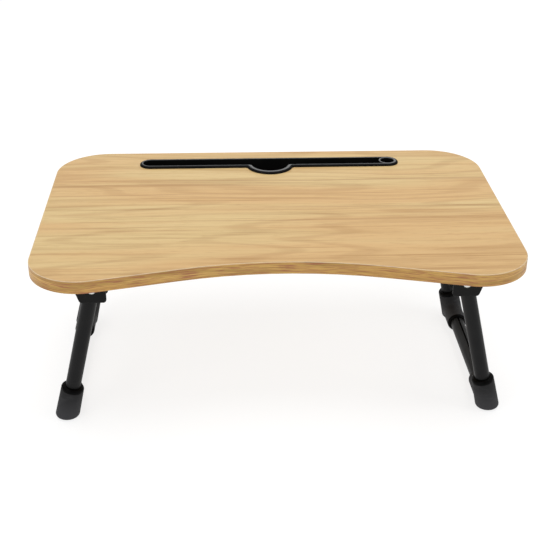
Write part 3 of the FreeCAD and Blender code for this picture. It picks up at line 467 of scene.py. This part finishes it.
# %% [markdown]
# ## Drawing a loop from arcs
#
# The board's outline and the insert's outline are both chains of arcs joined by straight runs. A
# circle could be bevelled out of a polygon, but a vertex bevel only gives a true arc at a right
# angle. Here each arc is one vertex spun about its centre, so it is exact, and straight edges join
# the arcs. Two loops that are drawn the same way with another inset have the same number of
# vertices, so they bridge into clean quads. A rounded edge is then a few loops in a row.

# %% Loops and lofts
TOUCH = 0.00001
ARC_STEP = math.radians(3)
SHARP_ANGLE = math.radians(35)
QUARTER = math.pi / 2


def draw_loop(mesh, arcs, height):
    """Spins each arc (centre, radius, start, turn) from one vertex and joins them to a closed loop."""
    before = set(mesh.edges)
    ends = []
    for (x, y), radius, start, turn in arcs:
        first = mesh.verts.new((x + radius * math.cos(start), y + radius * math.sin(start), height))
        spun = bmesh.ops.spin(mesh, geom=[first], cent=(x, y, height), axis=(0, 0, 1), dvec=(0, 0, 0),
                              angle=turn, steps=max(4, round(abs(turn) / ARC_STEP)),
                              use_merge=False, use_duplicate=False, use_normal_flip=False)
        ends.append((first, spun["geom_last"][0]))
    for index, (first, last) in enumerate(ends):
        following = ends[(index + 1) % len(ends)][0]
        if (last.co - following.co).length > TOUCH:
            mesh.edges.new((last, following))
    drawn = dict.fromkeys(vert for edge in mesh.edges if edge not in before for vert in edge.verts)
    bmesh.ops.remove_doubles(mesh, verts=list(drawn), dist=TOUCH)
    return [edge for edge in mesh.edges if edge not in before]


def loft(mesh, loops):
    """Bridges each loop to the next. A flat step is filled: in one plane a bridge can twist."""
    for one, two in zip(loops, loops[1:]):
        if abs(one[0].verts[0].co.z - two[0].verts[0].co.z) < TOUCH:
            bmesh.ops.triangle_fill(mesh, use_beauty=True, use_dissolve=False, edges=one + two,
                                    normal=(0, 0, 1))
        else:
            bmesh.ops.bridge_loops(mesh, edges=one + two)


def quarter_round(inset, height, radius, inward, upward, steps=5):
    """(inset, height) pairs round a quarter circle, from its side to its flat."""
    turns = [step * QUARTER / steps for step in range(steps + 1)]
    return [(inset + inward * radius * (1 - math.cos(t)), height + upward * radius * math.sin(t))
            for t in turns]


def finish_piece(mesh, name, material, body, stands_for):
    """Turns a bmesh into a smooth, outward-facing piece on its body."""
    bmesh.ops.recalc_face_normals(mesh, faces=mesh.faces)
    data = bpy.data.meshes.new(name)
    mesh.to_mesh(data)
    mesh.free()
    data.shade_smooth()
    data.set_sharp_from_angle(angle=SHARP_ANGLE)
    data.materials.append(material)
    piece = bpy.data.objects.new(name, data)
    scene.collection.objects.link(piece)
    # Large flats stay flat beside a small round when big faces weigh more in the shading.
    evened = piece.modifiers.new("weighted_normals", "WEIGHTED_NORMAL")
    evened.keep_sharp = True
    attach(piece, body)
    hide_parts(*stands_for)
    print(name, "has", len(data.polygons), "faces")
    return piece


# %% [markdown]
# ## The board's outline
#
# The back has two round corners. The front has two more, and between them the edge is drawn in by
# 42 mm in one long arc that is wide enough for a lap. Two short straight runs at 14.1 degrees join
# the arc to the corners, and the arc's radius follows from that, as in the CAD model.

# %% Board outline
HALF_WIDTH, HALF_DEPTH = 300 * MM, 200 * MM
TOP, UNDERSIDE = 218 * MM, 202 * MM
BACK_RADIUS, FRONT_RADIUS, HOLLOW = 70 * MM, 63 * MM, 42 * MM
SLOPE = math.radians(14.1)
FRONT_X = HALF_WIDTH - FRONT_RADIUS
FRONT_Y = FRONT_RADIUS - HALF_DEPTH
HOLLOW_RADIUS = ((math.sin(SLOPE) * FRONT_X + math.cos(SLOPE) * (FRONT_RADIUS - HOLLOW)
                  - FRONT_RADIUS) / (1 - math.cos(SLOPE)))


def board_outline(inset):
    """The arcs of the board's outline, drawn in by an inset."""
    back_x, back_y = HALF_WIDTH - BACK_RADIUS, HALF_DEPTH - BACK_RADIUS
    return [((back_x, back_y), BACK_RADIUS - inset, 0, QUARTER),
            ((-back_x, back_y), BACK_RADIUS - inset, QUARTER, QUARTER),
            ((-FRONT_X, FRONT_Y), FRONT_RADIUS - inset, 2 * QUARTER, QUARTER + SLOPE),
            ((0, HOLLOW - HALF_DEPTH - HOLLOW_RADIUS), HOLLOW_RADIUS + inset,
             QUARTER + SLOPE, -2 * SLOPE),
            ((FRONT_X, FRONT_Y), FRONT_RADIUS - inset, -QUARTER - SLOPE, QUARTER + SLOPE)]


print("radius of the hollow: %.1f mm" % (HOLLOW_RADIUS / MM))

# %% [markdown]
# ## Edge band
#
# A 1 mm band of the same printed oak is glued round the board and its two edges are rounded over.
# The grain follows the edge, so this piece gets a UV map: the first coordinate is the distance
# along the edge and the second goes up round the band's section, both in metres. A thin pale line
# all round the rounded top edge is a painted highlight.

# %% Edge band
BAND, BAND_ROUND = 1.0 * MM, 0.8 * MM


def follow_edge(mesh, stations):
    """A UV map in metres: along the edge, then round the section."""
    sheet = mesh.loops.layers.uv.new("along_edge")
    length = max(along for along, _ in stations.values())
    for face in mesh.faces:
        places = [stations[corner.vert] for corner in face.loops]
        far = max(along for along, _ in places)
        for corner, (along, across) in zip(face.loops, places):
            wraps = far - along > length / 2
            corner[sheet].uv = (along + (length if wraps else 0), across)


def walk(edges):
    """The vertices of a closed loop in order, each with its distance from the first."""
    start = min((v for e in edges for v in e.verts), key=lambda v: (round(v.co.x, 5), v.co.y))
    chosen, vert, came, distance = set(edges), start, None, 0.0
    placed = {}
    while vert not in placed:
        placed[vert] = distance
        links = [e for e in vert.link_edges if e in chosen and e is not came]
        links.sort(key=lambda e: e.other_vert(vert).co.y, reverse=True)
        came = links[0]
        distance += came.calc_length()
        vert = came.other_vert(vert)
    return placed


band = bmesh.new()
section = ([(BAND, UNDERSIDE)] + quarter_round(0, UNDERSIDE + BAND_ROUND, BAND_ROUND, 1, -1)[::-1]
           + quarter_round(0, TOP - BAND_ROUND, BAND_ROUND, 1, 1) + [(BAND, TOP)])
band_loops = [draw_loop(band, board_outline(inset), height) for inset, height in section]
stations = {}
across = 0.0
for index, loop in enumerate(band_loops):
    if index:
        step = Vector(section[index]) - Vector(section[index - 1])
        across += step.length
    for vert, along in walk(loop).items():
        stations[vert] = (along, across)
loft(band, band_loops + band_loops[:1])
follow_edge(band, stations)
finish_piece(band, "edge_band_trim", oak_edge_band, "tray", ["edge_band"])

# %% [markdown]
# ## The insert's outline
#
# The insert is a long slot with round ends. In the middle of its front wall a thumb notch bows
# forward, and small arcs run the wall into it. The same function draws the rim, the trough under
# the board and the cut-out in the laminate, each with its own inset.

# %% Slot outline
SLOT_LENGTH, SLOT_FROM_BACK, RIM_RADIUS = 370 * MM, 46 * MM, 15.5 * MM
NOTCH_FORWARD, NOTCH_RADIUS, JOIN_RADIUS = 8 * MM, 33 * MM, 4 * MM
SLOT_Y = HALF_DEPTH - SLOT_FROM_BACK
SLOT_END_X = SLOT_LENGTH / 2 - RIM_RADIUS
NOTCH_Y = SLOT_Y - NOTCH_FORWARD


def notch_arcs(inset, notch_inset):
    """The two small joining arcs and the notch between them, from left to right."""
    notch = NOTCH_RADIUS - notch_inset
    join_y = SLOT_Y - (RIM_RADIUS - inset) - JOIN_RADIUS
    join_x = math.sqrt((notch + JOIN_RADIUS) ** 2 - (NOTCH_Y - join_y) ** 2)
    lean = math.atan2(NOTCH_Y - join_y, -join_x)
    return [((-join_x, join_y), JOIN_RADIUS, QUARTER, QUARTER - lean),
            ((0, NOTCH_Y), notch, 4 * QUARTER - lean, 2 * lean - 2 * QUARTER),
            ((join_x, join_y), JOIN_RADIUS, lean, QUARTER - lean)]


def slot_outline(inset, notch_inset):
    """The whole insert: left end, front wall with its notch, right end."""
    end = RIM_RADIUS - inset
    return ([((-SLOT_END_X, SLOT_Y), end, QUARTER, 2 * QUARTER)] + notch_arcs(inset, notch_inset)
            + [((SLOT_END_X, SLOT_Y), end, -QUARTER, 2 * QUARTER)])


def cavity_outline(inset, notch_inset, ring):
    """The tablet slot: its right end is the outside of the pen cup's ring wall."""
    half = RIM_RADIUS - inset
    reach = math.acos(math.sqrt(ring ** 2 - half ** 2) / ring)
    return ([((-SLOT_END_X, SLOT_Y), half, QUARTER, 2 * QUARTER)] + notch_arcs(inset, notch_inset)
            + [((SLOT_END_X, SLOT_Y), ring, 2 * QUARTER + reach, -2 * reach)])


print("the insert's round ends are at x = %.1f mm" % (SLOT_END_X / MM))

# %% [markdown]
# ## Laminates
#
# A 0.8 mm sheet covers each face of the board, with the cut-out for the insert, which clears the
# insert's wall by 0.4 mm. A sheet is two loops filled with triangles and pulled up to its thickness.

# %% Laminates
LAMINATE, CUTOUT_GAP = 0.8 * MM, 0.4 * MM
RIM_WIDTH, NOTCH_RIM, SLOT_WALL = 4.5 * MM, 7 * MM, 2 * MM
TROUGH_INSET, TROUGH_NOTCH_INSET = RIM_WIDTH - SLOT_WALL, NOTCH_RIM - SLOT_WALL


def add_laminate(name, height, material, node):
    """A thin sheet inside the edge band, cut out for the insert."""
    sheet = bmesh.new()
    rims = (draw_loop(sheet, board_outline(BAND), height)
            + draw_loop(sheet, slot_outline(TROUGH_INSET - CUTOUT_GAP,
                                            TROUGH_NOTCH_INSET - CUTOUT_GAP), height))
    bmesh.ops.triangle_fill(sheet, use_beauty=True, use_dissolve=False, edges=rims, normal=(0, 0, 1))
    raised = bmesh.ops.extrude_face_region(sheet, geom=sheet.faces[:], use_keep_orig=True)["geom"]
    bmesh.ops.translate(sheet, vec=(0, 0, LAMINATE),
                        verts=[part for part in raised if isinstance(part, bmesh.types.BMVert)])
    return finish_piece(sheet, name, material, "tray", [node])


add_laminate("top_laminate_sheet", TOP - LAMINATE, oak_laminate, "top_laminate")
add_laminate("backing_laminate_sheet", UNDERSIDE, oak_backing, "backing_laminate")

# %% [markdown]
# ## Slot insert
#
# One moulding drops into the board from above: a rounded rim lies on the laminate, a trough goes
# through the board and shows below it, and a ring wall at the right end makes a round cup for pens.
# A boolean would cut the hollows out of a block and leave long thin triangles. Lofting loops gives
# every rounded edge its own rows of quads, and only the flat top and floors are filled. The rim
# rises from the board in a round that is wider than it is high, to a narrow level top beside the
# slot with a small round of its own inside. Glossy and level, that top mirrors the bright room at
# the back, and a slightly lighter colour on it is a painted highlight. Together they make the fine
# grey line seen along the slot.

# %% Slot insert
RIM_HEIGHT, SLOT_DEPTH, FLOOR_THICKNESS = 3.2 * MM, 25 * MM, 2.5 * MM
CUP_RADIUS, CUP_WALL = 9.5 * MM, 2.5 * MM
RIM_SLOPE_WIDTH, RIM_SLOPE_HEIGHT = 2.8 * MM, 2.2 * MM
BASE_ROUND, LIP_ROUND, RING_ROUND = 1.5 * MM, 0.8 * MM, 0.15 * MM
SLOPE_STEPS, LIP_STEPS = 7, 4
RIM_TOP = TOP + RIM_HEIGHT
SLOT_BASE = TOP - SLOT_DEPTH
SLOT_FLOOR = SLOT_BASE + FLOOR_THICKNESS

insert = bmesh.new()
base = quarter_round(TROUGH_INSET, SLOT_BASE + BASE_ROUND, BASE_ROUND, 1, -1)[::-1]
outside = [draw_loop(insert, slot_outline(inset, inset + TROUGH_NOTCH_INSET - TROUGH_INSET), height)
           for inset, height in base + [(TROUGH_INSET, TOP)]]
outside += [draw_loop(insert, slot_outline(inset, inset), height)
            for inset, height in [(0, TOP)] + [
                (over * RIM_SLOPE_WIDTH, RIM_TOP - RIM_SLOPE_HEIGHT * (1 - rise))
                for over, rise in quarter_round(0, 0, 1, 1, 1, SLOPE_STEPS)]]
loft(insert, outside)

# The lip opens along a quarter circle: how much wider, then how high, both as shares of its round.
lip = [(0, SLOT_FLOOR)] + [(widen, RIM_TOP - LIP_ROUND * (1 - rise))
                           for widen, rise in quarter_round(0, 0, 1, 1, 1, LIP_STEPS)]
cavity, cup = [], []
for widen, height in lip:
    wider = LIP_ROUND * widen
    ring = CUP_RADIUS + CUP_WALL - RING_ROUND * widen
    cavity.append(draw_loop(insert, cavity_outline(RIM_WIDTH - wider, NOTCH_RIM - wider, ring), height))
    cup.append(draw_loop(insert, [((SLOT_END_X, SLOT_Y), CUP_RADIUS + wider, 0, 4 * QUARTER)], height))
loft(insert, cavity[:2])
loft(insert, cup[:2])
moulded = set(insert.faces)
loft(insert, cavity[1:])
loft(insert, cup[1:])
bmesh.ops.triangle_fill(insert, use_beauty=True, use_dissolve=False, normal=(0, 0, 1),
                        edges=outside[-1] + cavity[-1] + cup[-1])
# The lip faces take the second material, whose lighter colour is a painted highlight along the slot.
for face in insert.faces:
    face.material_index = 0 if face in moulded else 1
for floor in (outside[0], cavity[0], cup[0]):
    bmesh.ops.triangle_fill(insert, use_beauty=True, use_dissolve=False, edges=floor, normal=(0, 0, 1))
moulding = finish_piece(insert, "slot_insert_moulding", black_abs, "tray",
                        ["slot_insert"])
moulding.data.materials.append(lip_abs_painted_highlight)

# %% [markdown]
# ## Bracket screws
#
# Four zinc-plated pan-head screws with a cross recess hold each bracket. They only show from
# below, but from there they are the brightest things on it. The head is a profile spun about the
# screw's axis. One arm of the cross is spun four times, filled in with the head's flat, and pulled
# up into the head with a taper. Each screw is left at another angle, as a driver leaves them.

# %% One screw, then sixteen
HEAD_RADIUS, HEAD_HEIGHT, SHANK_RADIUS = 3.75 * MM, 2.4 * MM, 1.75 * MM
FLAT_RADIUS, ARM_HALF, ARM_REACH, RECESS_DEPTH = 2.1 * MM, 0.42 * MM, 1.6 * MM, 1.3 * MM
DOME_SHARE, RECESS_TAPER, TIP_LENGTH = 0.7, 0.55, 3 * MM
ROUND_STEPS, DOME_STEPS, ARMS = 32, 6, 4
TURN_PER_METRE = 1000


def chain(mesh, points):
    """Vertices at the points, joined in a row."""
    verts = [mesh.verts.new(point) for point in points]
    return verts, [mesh.edges.new(pair) for pair in zip(verts, verts[1:])]


def spin_round(mesh, geometry, steps, copies):
    """A full turn about the Z axis."""
    bmesh.ops.spin(mesh, geom=geometry, cent=(0, 0, 0), axis=(0, 0, 1), dvec=(0, 0, 0),
                   angle=4 * QUARTER, steps=steps, use_merge=not copies, use_duplicate=copies,
                   use_normal_flip=False)
    bmesh.ops.remove_doubles(mesh, verts=mesh.verts, dist=TOUCH)


def make_screw(length):
    """A pan-head screw, head down, its flat at height 0."""
    screw = bmesh.new()
    dome = [(FLAT_RADIUS + (HEAD_RADIUS - FLAT_RADIUS) * math.sin(turn), 0,
             HEAD_HEIGHT * DOME_SHARE * (1 - math.cos(turn)))
            for turn in (step * QUARTER / DOME_STEPS for step in range(DOME_STEPS + 1))]
    profile = dome + [(HEAD_RADIUS, 0, HEAD_HEIGHT), (SHANK_RADIUS, 0, HEAD_HEIGHT),
                      (SHANK_RADIUS, 0, length - TIP_LENGTH), (0, 0, length)]
    verts, edges = chain(screw, profile)
    spin_round(screw, verts + edges, ROUND_STEPS, False)
    head_rim = [edge for edge in screw.edges if edge.is_boundary]

    before = set(screw.edges)
    verts, edges = chain(screw, [(ARM_HALF, -ARM_HALF, 0), (ARM_REACH, -ARM_HALF, 0),
                                 (ARM_REACH, ARM_HALF, 0), (ARM_HALF, ARM_HALF, 0)])
    spin_round(screw, verts + edges, ARMS, True)
    cross = [edge for edge in screw.edges if edge not in before and not edge.link_faces]
    bmesh.ops.triangle_fill(screw, use_beauty=True, use_dissolve=False, edges=head_rim + cross,
                            normal=(0, 0, -1))
    sunk = bmesh.ops.extrude_edge_only(screw, edges=cross)["geom"]
    tip = [part for part in sunk if isinstance(part, bmesh.types.BMVert)]
    bmesh.ops.scale(screw, vec=(RECESS_TAPER, RECESS_TAPER, 1), verts=tip)
    bmesh.ops.translate(screw, vec=(0, 0, RECESS_DEPTH), verts=tip)
    end = [part for part in sunk if isinstance(part, bmesh.types.BMEdge)]
    bmesh.ops.triangle_fill(screw, use_beauty=True, use_dissolve=False, edges=end, normal=(0, 0, -1))
    model = bpy.data.meshes.new("screw_model")
    screw.to_mesh(model)
    screw.free()
    return model


for end in ("front", "rear"):
    for side in ("left", "right"):
        node = "%s_%s_bracket_screws" % (end, side)
        low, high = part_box(node)
        model = make_screw(high[2] - low[2])
        screws = bmesh.new()
        for x in (low[0] + HEAD_RADIUS, high[0] - HEAD_RADIUS):
            for y in (low[1] + HEAD_RADIUS, high[1] - HEAD_RADIUS):
                count = len(screws.verts)
                screws.from_mesh(model)
                screws.verts.ensure_lookup_table()
                turn = Matrix.Rotation(TURN_PER_METRE * (x + y), 4, "Z")
                bmesh.ops.transform(screws, matrix=Matrix.Translation((x, y, low[2])) @ turn,
                                    verts=screws.verts[count:])
        finish_piece(screws, "%s_%s_screw_set" % (end, side), zinc_plate, "tray", [node])
        bpy.data.meshes.remove(model)

# %% [markdown]
# ## Floor
#
# A plain sheet that reaches past the edge of the picture. It isn't part of the table. In the
# photograph it is pure white even under the board, with only a breath of grey beside the feet, as a
# translucent sheet looks when it is lit from below. So most of its brightness is its own. It lies
# 0.3 mm below the feet, so that they and the sheet don't share a plane.

# %% Floor
FLOOR_REACH, FLOOR_DROP, FLOOR_GLOW = 40, 0.3 * MM, 0.79
ground = bmesh.new()
bmesh.ops.create_grid(ground, x_segments=1, y_segments=1, size=FLOOR_REACH)
bmesh.ops.translate(ground, vec=(0, 0, -FLOOR_DROP), verts=ground.verts)
floor_mesh = bpy.data.meshes.new("studio_floor")
ground.to_mesh(floor_mesh)
ground.free()
paper, paper_tree, paper_shader = new_material("white_paper_sweep")
set_inputs(paper_tree, paper_shader, {"Base Color": linear("8A8A8A"), "Roughness": 0.9,
                                      "Specular IOR Level": 0.1, "Emission Strength": FLOOR_GLOW,
                                      "Emission Color": linear("FFFFFF")})
floor_mesh.materials.append(paper)
studio_floor = bpy.data.objects.new("studio_floor", floor_mesh)
scene.collection.objects.link(studio_floor)
print("floor ready, %.1f mm below the feet" % (FLOOR_DROP / MM))
